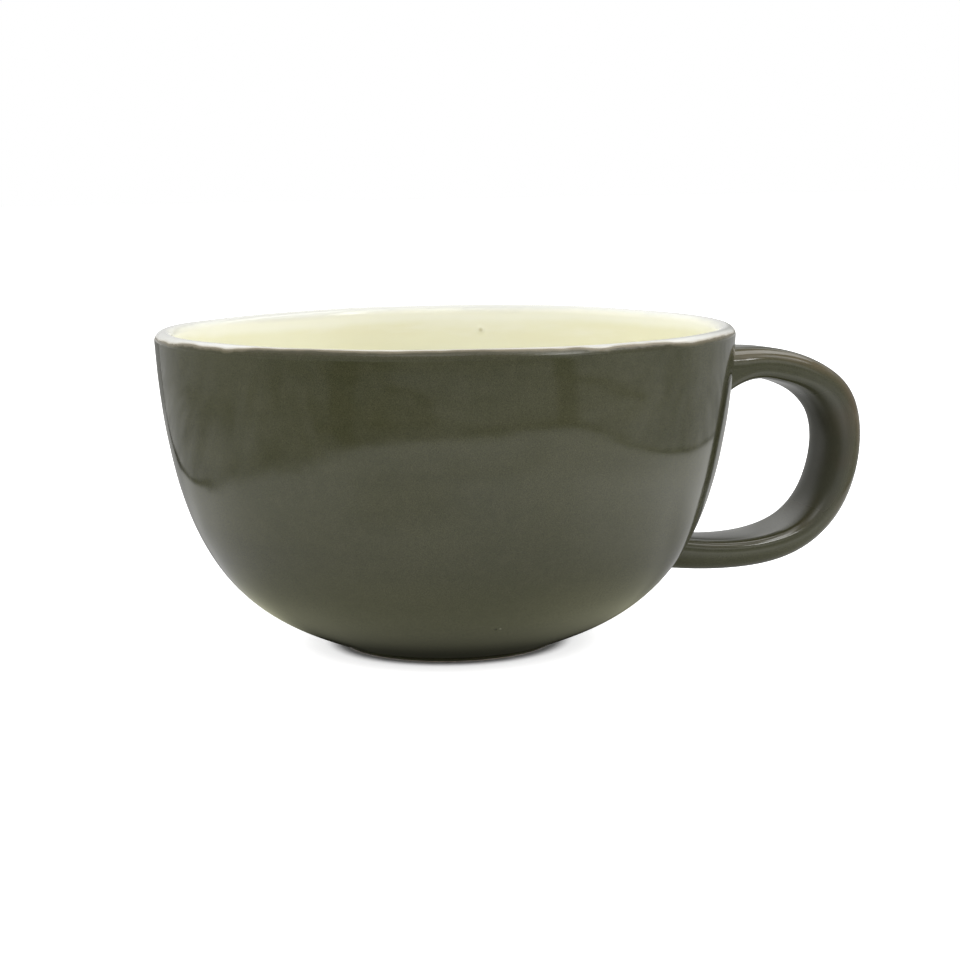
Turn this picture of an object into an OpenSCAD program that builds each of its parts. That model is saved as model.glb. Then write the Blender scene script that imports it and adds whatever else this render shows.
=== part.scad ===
// Soup mug: a wide, low stoneware bowl with one strap handle.
// The bowl is turned about Z and stands on a low foot ring, glazed on its side and bare where it
// stands, z = 0 is the table.
// The handle is a cast strap in the XZ plane on the +X side, luted to the wall with slip.
// Two glazes are modelled as thin skins: a pale liner that runs over the lip, and a dark
// outer glaze on the wall, with a sleeve of the same dark glaze round the handle.
// All sizes are in millimetres.

/* [Bowl] */
// Outer diameter over the lip
bowl_d = 140; // [136:1:146]
// Height from the table to the top of the lip
bowl_h = 77.5; // [75:0.5:82]
// Thickness of the fired clay wall at the lip
wall_t = 3.6; // [3.2:0.1:4]
// Thickness of the clay floor over the recess
floor_t = 4; // [3.5:0.1:5]

/* [Foot] */
// Outer radius of the foot ring
foot_r = 26; // [24:0.5:28]
// Width of the foot ring where it stands
foot_w = 4; // [3:0.5:5]
// Height of the foot ring under the curve of the bowl
foot_h = 1; // [0.8:0.1:1.6]
// Depth of the turned recess inside the foot ring
recess_d = 1.6; // [1:0.1:2]

/* [Handle] */
// Width of the strap
handle_w = 18; // [15:0.5:20]
// Reach of the handle past the lip
handle_reach = 44; // [42:0.5:47]
// Rounding of the strap's inner edges
inner_edge_r = 2; // [1.4:0.1:2.6]
// How far the inside of the grip is rounded to an oval
grip_oval = 0.8; // [0:0.05:0.9]
// Rounding of the strap's outer edges
outer_edge_r = 3.4; // [2.8:0.1:3.6]
// Radius of the sponged fillet where the strap meets the wall
fillet_r = 2.4; // [1.6:0.1:3]

/* [Glaze] */
// Thickness of both glazes, and of the slip under the handle
glaze_t = 0.4; // [0.3:0.05:0.5]
// Angle round the lip where the pale glaze stops and the dark one starts, 0 is outward and 90 is up
lip_line = 58; // [20:1:75]

/* [Hidden] */

clay_colour = [0.80, 0.74, 0.64];
slip_colour = [0.72, 0.65, 0.54];
cream_colour = [0.94, 0.93, 0.84];
olive_colour = [0.31, 0.31, 0.25];

lip_r = wall_t / 2 + glaze_t;
half_d = bowl_d / 2;
kz = bowl_h / 77.5;
floor_z = recess_d + floor_t + glaze_t;
lip_c = [half_d - lip_r, bowl_h - lip_r];

// Finished outside and inside of the wall, each one cubic curve in radius and height
outside = [[foot_r + 0.5, foot_h], [foot_r + 24, 9 * kz], [half_d - 3, 20 * kz], [half_d, bowl_h - lip_r]];
inside = [[6, floor_z], [half_d - 26.5, floor_z], [half_d - 7.5, 18.5 * kz], [half_d - 2 * lip_r, bowl_h - lip_r]];
wall_steps = 26;
// Side of the foot ring: the glaze's face, and the clay under it
foot_face = [[foot_r - 0.1, 0.15], [foot_r + 0.2, 0.6 * foot_h]];
foot_clay = [[foot_r - 0.45, 0.12], [foot_r - 0.15, 0.6 * foot_h + 0.05]];

function cubic(p, t) =
    pow(1 - t, 3) * p[0] + 3 * pow(1 - t, 2) * t * p[1] + 3 * (1 - t) * t * t * p[2] + t * t * t * p[3];
function cubic_slope(p, t) =
    3 * (pow(1 - t, 2) * (p[1] - p[0]) + 2 * (1 - t) * t * (p[2] - p[1]) + t * t * (p[3] - p[2]));
function cubic_normal(p, t) = let (d = cubic_slope(p, t)) [d.y, -d.x] / norm(d);

// A curve of the wall, moved by off away from the axis
function wall_curve(p, off) =
    [for (i = [0 : wall_steps]) let (t = i / wall_steps) cubic(p, t) + off * cubic_normal(p, t)];
// An arc round the lip
function lip_arc(r, a0, a1, n) =
    [for (i = [0 : n]) let (a = a0 + (a1 - a0) * i / n) lip_c + r * [cos(a), sin(a)]];
function flip(list) = [for (i = [len(list) - 1 : -1 : 0]) list[i]];

// The glazed strap's outer and inner faces in the XZ plane: control points of two smooth curves,
// as distance from the lip's radius and height above the table
outer_ctrl = [[-36, 70], [-20, 69], [-4, 68.5], [11, 69.5], [25, 68], [40, 61], [45, 49.5],
              [43.5, 33.5], [36, 21], [23.5, 13.5], [7, 12], [-11.5, 13.5], [-31.5, 17.5], [-51, 21.5]];
inner_ctrl = [[-21, 31.5], [-10, 44], [1, 56.5], [11, 62], [21.5, 60.5], [31.5, 56], [36, 46],
              [34.5, 36], [29.5, 26], [21.5, 21], [7, 19.5], [-10, 21.5], [-29, 27], [-48, 32]];
outer_path = [for (p = outer_ctrl) [half_d + p.x * handle_reach / 44, p.y * kz]];
inner_path = [for (p = inner_ctrl) [half_d + p.x * handle_reach / 44, p.y * kz]];
spans = len(outer_ctrl) - 3;

function spline(p, u) =
    let (i = min(floor(u), spans - 1), t = u - i)
    (pow(1 - t, 3) * p[i] + (3 * t * t * t - 6 * t * t + 4) * p[i + 1]
     + (-3 * t * t * t + 3 * t * t + 3 * t + 1) * p[i + 2] + t * t * t * p[i + 3]) / 6;

// Stations along the strap, closer together where it meets the wall
stations = concat([for (i = [0 : 9]) 0.35 + i * 0.15], [for (i = [1 : 22]) 1.7 + i * 0.32],
                  [for (i = [1 : 6]) 8.74 + i * 0.16], [for (i = [1 : 16]) 9.7 + i * 0.05], [10.7, 10.95]);
last = len(stations) - 1;
upper_end = 9;
lower_end = last - 20;

// Radius of the finished wall at a height, and how upright the wall is there
wall_r = [for (i = [0 : wall_steps]) let (q = cubic(outside, i / wall_steps)) [q.y, q.x]];
wall_up = [for (i = [0 : wall_steps]) let (t = i / wall_steps) [cubic(outside, t).y, cubic_normal(outside, t).x]];
function off_wall(p) = (norm([p.x, p.y]) - lookup(p.z, wall_r)) * lookup(p.z, wall_up);
function fillet(d) =
    d >= fillet_r ? 0 : let (k = 1 - max(d, 0) / fillet_r) fillet_r * (1 - sqrt(max(0, 1 - k * k)));

function ease(x, a, b) = let (t = min(max((x - a) / (b - a), 0), 1)) t * t * (3 - 2 * t);
function oval_at(u) = grip_oval * ease(u, 2.6, 4.6) * (1 - ease(u, 6.6, 8.3));

// One closed outline of the strap, grown by g from its glazed face, with the fillet where it nears the wall
corner_steps = 5;
function ring(u, g) =
    let (o = spline(outer_path, u), i = spline(inner_path, u), c = (o + i) / 2,
         t = norm(o - i), n = (o - i) / t, w = handle_w / 2)
    [for (q = [0 : 3], k = [0 : corner_steps])
        let (a = 90 * q + 90 * k / corner_steps,
             r = q < 2 ? outer_edge_r : inner_edge_r,
             sx = q == 0 || q == 3 ? 1 : -1, sy = q < 2 ? 1 : -1,
             boxy = [sx * (w - r), sy * (t / 2 - r)] + r * [cos(a), sin(a)],
             oval = [w * w * cos(a), t * t / 4 * sin(a)] / norm([w * cos(a), t / 2 * sin(a)]),
             m = q < 2 ? 0 : oval_at(u),
             raw = (1 - m) * boxy + m * oval,
             place = [c.x + n.x * raw.y, raw.x, c.y + n.y * raw.y],
             e = g + fillet(off_wall(place)),
             cut = raw + e * [cos(a), sin(a)])
        [c.x + n.x * cut.y, cut.x, c.y + n.y * cut.y]];

module strap(g, first, final) {
    m = 4 * (corner_steps + 1);
    rings = final - first;
    polyhedron(
        points = [for (s = [first : final]) each ring(stations[s], g)],
        faces = concat(
            [for (s = [0 : rings - 1], k = [0 : m - 1]) let (a = s * m + k, b = s * m + (k + 1) % m)
                [a, b + m, b]],
            [for (s = [0 : rings - 1], k = [0 : m - 1]) let (a = s * m + k, b = s * m + (k + 1) % m)
                [a, a + m, b + m]],
            [[for (k = [0 : m - 1]) k]],
            [[for (k = [m - 1 : -1 : 0]) rings * m + k]]),
        convexity = 6);
}

// Everything inside the outside of the wall, moved in by off
module wall_envelope(off) {
    rotate_extrude($fn = 144)
        polygon(concat([[0, foot_h - 4]], [[foot_r - 6, foot_h - 4]], wall_curve(outside, -off),
                       lip_arc(lip_r - off, 10, 90, 6), [[0, bowl_h - off]]));
}

module bowl_body() {
    color(clay_colour)
    rotate_extrude($fn = 144)
        polygon(concat(
            [[0, recess_d], [foot_r - foot_w - 1.2, recess_d], [foot_r - foot_w - 0.3, 0.5],
             [foot_r - foot_w + 0.3, 0], [foot_r - 0.6, 0]],
            foot_clay,
            wall_curve(outside, -glaze_t),
            lip_arc(lip_r - glaze_t, 10, 170, 16),
            flip(wall_curve(inside, glaze_t)),
            [[0, floor_z - glaze_t]]));
}

module liner_glaze() {
    color(cream_colour)
    rotate_extrude($fn = 144)
        polygon(concat(
            [[0, floor_z]],
            wall_curve(inside, 0),
            lip_arc(lip_r, 170, lip_line, 14),
            lip_arc(lip_r - glaze_t, lip_line, 170, 14),
            flip(wall_curve(inside, glaze_t)),
            [[0, floor_z - glaze_t]]));
}

module outer_glaze() {
    color(olive_colour)
    difference() {
        rotate_extrude($fn = 144)
            polygon(concat(
                foot_face,
                wall_curve(outside, 0),
                lip_arc(lip_r, 8, lip_line, 3),
                lip_arc(lip_r - glaze_t, lip_line, 8, 3),
                flip(wall_curve(outside, -glaze_t)),
                flip(foot_clay)));
        strap(-glaze_t, 0, upper_end);
        strap(-glaze_t, lower_end, last);
    }
}

module handle() {
    color(clay_colour)
    difference() {
        strap(-glaze_t, 0, last);
        wall_envelope(0);
    }
}

module slip_pad(first, final) {
    color(slip_colour)
    difference() {
        intersection() {
            strap(-glaze_t, first, final);
            wall_envelope(0);
        }
        wall_envelope(glaze_t);
    }
}

module upper_slip_joint() { slip_pad(0, upper_end); }
module lower_slip_joint() { slip_pad(lower_end, last); }

module handle_glaze() {
    color(olive_colour)
    difference() {
        strap(0, 1, last - 1);
        strap(-glaze_t, 0, last);
        wall_envelope(0);
    }
}

bowl_body();
handle();
upper_slip_joint();
lower_slip_joint();
liner_glaze();
outer_glaze();
handle_glaze();
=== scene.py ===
"""Soup mug: the packed clay and slip parts, with finely modelled glaze skins and bare foot ring round them."""

import math

import bpy
import numpy as np
from mathutils import Matrix, Vector


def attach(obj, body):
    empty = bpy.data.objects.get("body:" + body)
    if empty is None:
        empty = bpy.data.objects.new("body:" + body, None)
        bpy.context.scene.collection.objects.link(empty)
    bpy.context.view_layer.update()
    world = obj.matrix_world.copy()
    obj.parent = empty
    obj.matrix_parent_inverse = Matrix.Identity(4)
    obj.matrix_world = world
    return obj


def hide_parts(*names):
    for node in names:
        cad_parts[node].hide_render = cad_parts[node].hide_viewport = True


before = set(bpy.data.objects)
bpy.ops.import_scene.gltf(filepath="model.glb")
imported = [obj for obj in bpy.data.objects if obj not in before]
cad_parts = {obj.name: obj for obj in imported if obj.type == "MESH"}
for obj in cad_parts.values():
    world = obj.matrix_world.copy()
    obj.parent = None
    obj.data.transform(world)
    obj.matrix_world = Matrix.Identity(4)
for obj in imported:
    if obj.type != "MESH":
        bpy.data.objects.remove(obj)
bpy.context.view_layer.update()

TAU = 2 * math.pi
GLAZE = 0.4
LIP_C, LIP_R = (67.8, 75.3), 2.2


# ---------------------------------------------------------------- the turned form, in millimetres
def cubic(ctrl, t):
    p = np.array(ctrl, float)
    t = np.asarray(t, float)[:, None]
    return (1 - t) ** 3 * p[0] + 3 * (1 - t) ** 2 * t * p[1] + 3 * (1 - t) * t * t * p[2] + t ** 3 * p[3]


OUTSIDE = [[26.5, 1], [50, 9], [67, 20], [70, 75.3]]
INSIDE = [[6, 6], [43.5, 6], [62.5, 18.5], [65.6, 75.3]]


def arc(a0, a1, n, radius=LIP_R):
    a = np.radians(np.linspace(a0, a1, n))
    return np.stack([LIP_C[0] + radius * np.cos(a), LIP_C[1] + radius * np.sin(a)], 1)


def clean(points, gap=1e-4):
    keep = [points[0]]
    for p in points[1:]:
        if np.hypot(*(p - keep[-1])) > gap:
            keep.append(p)
    return np.array(keep)


class Profile:
    """A smooth line in radius and height, read by its own length in millimetres. Its normal is on its left."""

    def __init__(self, points, side=1):
        p = clean(np.array(points, float))
        d = np.hypot(*np.diff(p, axis=0).T)
        s = np.concatenate([[0], np.cumsum(d)])
        self.s = np.linspace(0, s[-1], int(s[-1] / 0.02))
        self.p = np.stack([np.interp(self.s, s, p[:, 0]), np.interp(self.s, s, p[:, 1])], 1)
        t = np.gradient(self.p, self.s, axis=0)
        k = 15
        pad = np.pad(t, ((k, k), (0, 0)), mode="edge")
        t = np.stack([np.convolve(pad[:, i], np.ones(2 * k + 1) / (2 * k + 1), "valid") for i in (0, 1)], 1)
        t /= np.linalg.norm(t, axis=1)[:, None]
        self.n = side * np.stack([-t[:, 1], t[:, 0]], 1)
        self.length = s[-1]

    def at(self, s):
        s = np.asarray(s, float)
        r, z = (np.interp(s, self.s, self.p[:, i]) for i in (0, 1))
        nr, nz = (np.interp(s, self.s, self.n[:, i]) for i in (0, 1))
        return r, z, nr, nz


# From the top of the lip outward and down to the edge of the outer glaze
_t = np.linspace(1, 0, 1500)
_wall = cubic(OUTSIDE, _t)
_foot = [[26.44, 0.88], [26.3, 0.7], [26.2, 0.56], [26.08, 0.38], [25.98, 0.24], [25.91, 0.15]]
OUT = Profile(np.concatenate([arc(90, -3.1, 200), _wall[_wall[:, 1] < 75.1], _foot]))
CREASE = OUT.length - 1.02  # where the bowl meets the side of its foot
# From the top of the lip inward and down to the middle of the floor
_in = cubic(INSIDE, _t)
IN = Profile(np.concatenate([arc(90, 183.1, 200), _in[_in[:, 1] < 75.1], [[0, 6]]]), side=-1)

_zr = _wall[::-1]
_slope = np.gradient(_zr[:, 0], _zr[:, 1])


def smooth(x, a, b):
    t = np.clip((np.asarray(x, float) - a) / (b - a), 0, 1)
    return t * t * (3 - 2 * t)


def wave(th, z):
    """How far the wall stands off a perfect turning, in millimetres: soft lobes, as a cast and sponged pot has."""
    th, z = np.broadcast_arrays(np.asarray(th, float), np.asarray(z, float))
    w = (
        0.060 * np.sin(2 * th + 0.6)
        + 0.035 * np.sin(3 * th + 2.1 + 0.020 * z)
        + 0.020 * np.sin(5 * th - 1.0 + 0.045 * z)
        + 0.014 * np.sin(9 * th + 0.4 - 0.060 * z)
        + 0.010 * np.sin(14 * th + 2.7 + 0.110 * z)
        + 0.016 * np.sin(0.23 * z + 1.7 * np.sin(th + 0.3))
        + 0.010 * np.sin(0.52 * z + 2.3 * np.sin(2 * th - 0.7))
    )
    return w * smooth(z, 2, 14)


def rim_rise(th, z):
    """The lip isn't quite level."""
    rise = 0.10 * np.sin(2 * th + 1.1) + 0.06 * np.sin(3 * th - 0.4) + 0.035 * np.sin(7 * th + 2.0) + 0.02 * np.sin(13 * th)
    return rise * smooth(z, 55, 74)


def wall_radius(th, z):
    return np.interp(z, _zr[:, 1], _zr[:, 0]) + wave(th, z)


def wall_normal(th, z):
    s = np.interp(z, _zr[:, 1], _slope)
    n = np.stack([np.cos(th), np.sin(th), -s * np.ones_like(th)], -1)
    return n / np.linalg.norm(n, axis=-1)[..., None]


def off_wall(p):
    """Distance from the finished wall, outward, near it."""
    th = np.arctan2(p[..., 1], p[..., 0])
    rho = np.hypot(p[..., 0], p[..., 1])
    s = np.interp(p[..., 2], _zr[:, 1], _slope)
    return (rho - wall_radius(th, p[..., 2])) / np.sqrt(1 + s * s)


def turned(prof, s, th, off=0.0, bead=0.0):
    """Points of a profile at lengths s (rows) and angles th (columns), off millimetres inside the finished face."""
    s = np.broadcast_to(s, (s.shape[0], len(th)))
    r, z, nr, nz = prof.at(s)
    r = r + nr * (bead - off)
    z = z + nz * (bead - off)
    r = r + wave(th[None, :], z) * smooth(r, 2, 20)
    z = z + rim_rise(th[None, :], z)
    return np.stack([r * np.cos(th)[None, :], r * np.sin(th)[None, :], z], -1)


# ---------------------------------------------------------------- meshes
def build(name, rows, loop, values=None):
    """A closed surface from rows of points: a row is a ring of points, or one point on the axis."""
    verts, starts, sizes = [], [], []
    for row in rows:
        starts.append(len(verts) and sum(sizes))
        sizes.append(len(row))
        verts.append(np.asarray(row, float))
    pos = np.concatenate(verts)
    # the lip stands a little higher on the side away from the camera
    off = np.abs((np.degrees(np.arctan2(pos[:, 1], pos[:, 0])) - 68.45 + 180) % 360 - 180)
    pos[:, 2] += 0.66 * (1 - smooth(off, 8, 66)) * smooth(pos[:, 2], 58, 77)
    pos *= 0.001
    faces = []
    order = list(range(len(rows)))
    pairs = list(zip(order[:-1], order[1:])) + ([(order[-1], order[0])] if loop else [])
    starts = np.concatenate([[0], np.cumsum(sizes)[:-1]])
    for a, b in pairs:
        na, nb, sa, sb = sizes[a], sizes[b], starts[a], starts[b]
        k = np.arange(max(na, nb))
        k2 = (k + 1) % max(na, nb)
        if na == nb:
            faces += np.stack([sa + k, sa + k2, sb + k2, sb + k], 1).tolist()
        elif na == 1:
            faces += np.stack([np.full_like(k, sa), sb + k2, sb + k], 1).tolist()
        else:
            faces += np.stack([sa + k, sa + k2, np.full_like(k, sb)], 1).tolist()
    me = bpy.data.meshes.new(name)
    me.from_pydata(pos.tolist(), [], faces)
    for key, val in (values or {}).items():
        att = me.attributes.new(key, "FLOAT", "POINT")
        att.data.foreach_set("value", np.concatenate([np.ravel(v) for v in val]).astype(np.float32))
    me.update()
    me.polygons.foreach_set("use_smooth", [True] * len(me.polygons))
    ob = bpy.data.objects.new(name, me)
    bpy.context.scene.collection.objects.link(ob)
    # outward faces
    me.calc_loop_triangles()
    v = np.empty(len(me.vertices) * 3)
    me.vertices.foreach_get("co", v)
    v = v.reshape(-1, 3)
    t = np.empty(len(me.loop_triangles) * 3, np.int32)
    me.loop_triangles.foreach_get("vertices", t)
    t = v[t.reshape(-1, 3)]
    if np.einsum("ij,ij->i", t[:, 0], np.cross(t[:, 1], t[:, 2])).sum() < 0:
        me.flip_normals()
    return ob


COLS = 480
TH = np.arange(COLS) * TAU / COLS


def periodic(points, th):
    """A smooth closed line through (degrees, value) pairs."""
    a = np.array([p[0] for p in points], float)
    v = np.array([p[1] for p in points], float)
    a = np.concatenate([a - 360, a, a + 360])
    v = np.tile(v, 3)
    o = np.argsort(a)
    a, v = a[o], v[o]
    x = np.degrees(th) % 360
    i = np.clip(np.searchsorted(a, x, side="right") - 1, 1, len(a) - 3)  # the tiled list always has x inside it
    h = a[i + 1] - a[i]
    t = (x - a[i]) / h
    m0 = (v[i + 1] - v[i - 1]) / (a[i + 1] - a[i - 1]) * h
    m1 = (v[i + 2] - v[i]) / (a[i + 2] - a[i]) * h
    return (2 * t**3 - 3 * t**2 + 1) * v[i] + (t**3 - 2 * t**2 + t) * m0 + (3 * t**2 - 2 * t**3) * v[i + 1] + (t**3 - t**2) * m1


def glaze_line(th):
    """Where the cream stops and the olive starts: millimetres along the wall from the top of the lip."""
    knots = [(0, 1.9), (14, 1.5), (30, 1.7), (44, 1.1), (58, 0.8), (74, 1.3), (88, 0.9), (104, 0.5), (120, 0.8), (136, 1.5), (150, 1.9),
             (164, 2.5), (172, 2.4), (180, 2.3), (184, 2.5), (187, 2.2), (190, 1.8), (194, 1.6), (198, 1.95), (201, 1.8), (204, 2.0),
             (207, 1.9), (209, 1.5), (212, 1.1), (215, 0.8), (218, 0.8), (222, 0.6), (224, 0.45), (228, 0.6), (232, 0.65), (235, 0.85),
             (240, 0.85), (245, 0.6), (249, 0.65), (254, 0.5), (258, 0.6), (262, 0.8), (266, 1.0), (270, 1.1), (274, 1.0), (276, 1.4),
             (278, 1.6), (283, 1.4), (289, 1.25), (293, 1.45), (296, 1.75), (299, 2.2), (303, 2.45), (309, 2.3), (314, 2.05), (322, 2.3),
             (334, 2.1), (346, 1.8)]
    s = periodic(knots, th + math.radians(1.05))
    rough = 0.05 * np.sin(17 * th + 0.9 + 2.0 * np.sin(4 * th)) + 0.06 * np.sin(31 * th + 2.0 + 1.7 * np.sin(5 * th + 1.0))
    rough += 0.05 * np.sin(53 * th + 1.1 + 2.2 * np.sin(7 * th)) + 0.04 * np.sin(83 * th + 0.3)
    return np.clip(s + rough * np.clip(s, 0.35, 1.0), 0.15, 3.5)


LINE = glaze_line(TH)


def spaced(a, b, n, fine=0.12, power=1.6):
    """n steps from a to b, closer together at a."""
    t = np.linspace(0, 1, n) ** power
    return a + (b - a) * t


def rows_between(start, end, n, power=1.5):
    t = (np.linspace(0, 1, n) ** power)[:, None]
    return start[None, :] * (1 - t) + end[None, :] * t


# the outer glaze: its face from the line down the wall and the foot's side, a rounded lower edge, and its back on the clay
end = OUT.length - 0.01 - 0.03 * (0.5 + 0.5 * np.sin(3 * TH + 0.7)) - 0.015 * (1 + np.sin(8 * TH + 1.3)) - 0.01 * (1 + np.sin(19 * TH))
above = np.full(COLS, CREASE - 2.0)
face_s = np.concatenate([rows_between(LINE, above, 86, 1.45), rows_between(above, end, 17, 1.0)[1:]])
from_line = face_s - LINE[None, :]
from_foot = end[None, :] - face_s
bead = 0.022 * smooth(from_line, 0.0, 0.7) * (1 - smooth(from_line, 0.9, 3.2)) - 0.05 * (1 - smooth(from_line, 0.0, 0.25))
bead -= 0.10 * (1 - smooth(from_foot, 0.0, 0.2))
face = turned(OUT, face_s, TH, 0.0, bead)
back_s = np.concatenate([rows_between(end + 0.02, above, 7, 1.0), rows_between(above, LINE, 15, 1.0)[1:]])
back = turned(OUT, back_s, TH, GLAZE)
rows = list(face) + list(back)
values = {
    "line": list(from_line) + list(np.full(back_s.shape, 30.0)),
    "foot": list(from_foot) + list(np.full(back_s.shape, 30.0)),
    "over": list(face_s) + list(np.full(back_s.shape, 30.0)),
    "edge": [np.zeros(COLS)] * len(rows),
    "soft": [np.zeros(COLS)] * len(rows),
}
outer = build("outer_glaze_skin", rows, True, values)

# the liner: from the middle of the floor up the inside, over the lip to the line, and back on the clay
s_in = np.concatenate([np.linspace(IN.length, IN.length - 40, 16)[1:], np.linspace(IN.length - 40, 8, 44)[1:], np.linspace(8, 0, 18)[1:]])
in_rows = [turned(IN, np.array([[s]]), TH)[0] for s in s_in]
lip_rows = turned(OUT, rows_between(np.zeros(COLS), LINE, 14, 0.9)[1:], TH)
back_lip = turned(OUT, rows_between(LINE, np.zeros(COLS), 6, 1.0), TH, GLAZE)
back_in = [turned(IN, np.array([[s]]), TH, GLAZE)[0] for s in np.linspace(0, IN.length, 22)[1:-1]]
rows = [np.array([[0, 0, 6.0]])] + in_rows + list(lip_rows) + list(back_lip) + back_in + [np.array([[0, 0, 5.6]])]
line_of = lambda s: LINE[None, :] - s
values = {
    "line": [np.array([60.0])]
    + [LINE + s for s in s_in]
    + list(LINE[None, :] - rows_between(np.zeros(COLS), LINE, 14, 0.9)[1:])
    + list(np.full((len(back_lip) + len(back_in), COLS), 60.0))
    + [np.array([60.0])]
}
liner = build("liner_glaze_skin", rows, False, values)

# the clay: bare only on the foot ring and in its recess
CLAY_COLS = 240
TC = np.arange(CLAY_COLS) * TAU / CLAY_COLS
clay_in = [turned(IN, np.array([[s]]), TC, GLAZE)[0] for s in np.linspace(IN.length, 0, 40)[1:]]
clay_out = [turned(OUT, np.array([[s]]), TC, GLAZE)[0] for s in np.linspace(0, CREASE - 0.3, 52)[1:]]


def ring(r, z, wobble=0.0):
    rr = r + wobble * (np.sin(4 * TC + 0.4) + 0.6 * np.sin(9 * TC + 2.0))
    return np.stack([rr * np.cos(TC), rr * np.sin(TC), np.full(CLAY_COLS, float(z))], 1)


foot = [(26.12, 1.16), (25.97, 0.9), (25.82, 0.62), (25.7, 0.4), (25.6, 0.22), (25.54, 0.11), (25.44, 0.04), (25.25, 0.0), (24.6, 0.0),
        (24.0, 0.0), (23.4, 0.0), (22.8, 0.0), (22.45, 0.02), (22.2, 0.1), (22.0, 0.26), (21.82, 0.5), (21.62, 0.85), (21.38, 1.2),
        (21.1, 1.46), (20.7, 1.58)]
recess = [(r, 1.6 + 0.05 * math.sin(r * 2.9) * (1 - r / 30)) for r in np.linspace(20.0, 0.8, 66)]
rows = [np.array([[0, 0, 5.6]])] + clay_in + clay_out + [ring(r, z, 0.03) for r, z in foot] + [ring(r, z) for r, z in recess] + [np.array([[0, 0, 1.62]])]
clay = build("bowl_clay_and_foot", rows, False)

# ---------------------------------------------------------------- the handle's glaze
OUTER_CTRL = [[-36, 70], [-20, 69], [-4, 68.5], [11, 69.5], [25, 68], [40, 61], [45, 49.5], [43.5, 33.5], [36, 21], [23.5, 13.5],
              [7, 12], [-11.5, 13.5], [-31.5, 17.5], [-51, 21.5]]
INNER_CTRL = [[-21, 31.5], [-10, 44], [1, 56.5], [11, 62], [21.5, 60.5], [31.5, 56], [36, 46], [34.5, 36], [29.5, 26], [21.5, 21],
              [7, 19.5], [-10, 21.5], [-29, 27], [-48, 32]]
WIDTH, OUTER_EDGE, INNER_EDGE, FILLET = 18.0, 3.4, 2.0, 2.4


def spline(ctrl, u):
    c = np.array(ctrl, float)
    i = np.clip(np.floor(u).astype(int), 0, len(c) - 4)
    t = (u - i)[:, None]
    return ((1 - t) ** 3 * c[i] + (3 * t**3 - 6 * t**2 + 4) * c[i + 1] + (-3 * t**3 + 3 * t**2 + 3 * t + 1) * c[i + 2] + t**3 * c[i + 3]) / 6


AROUND, DENSE = 96, 384


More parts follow.
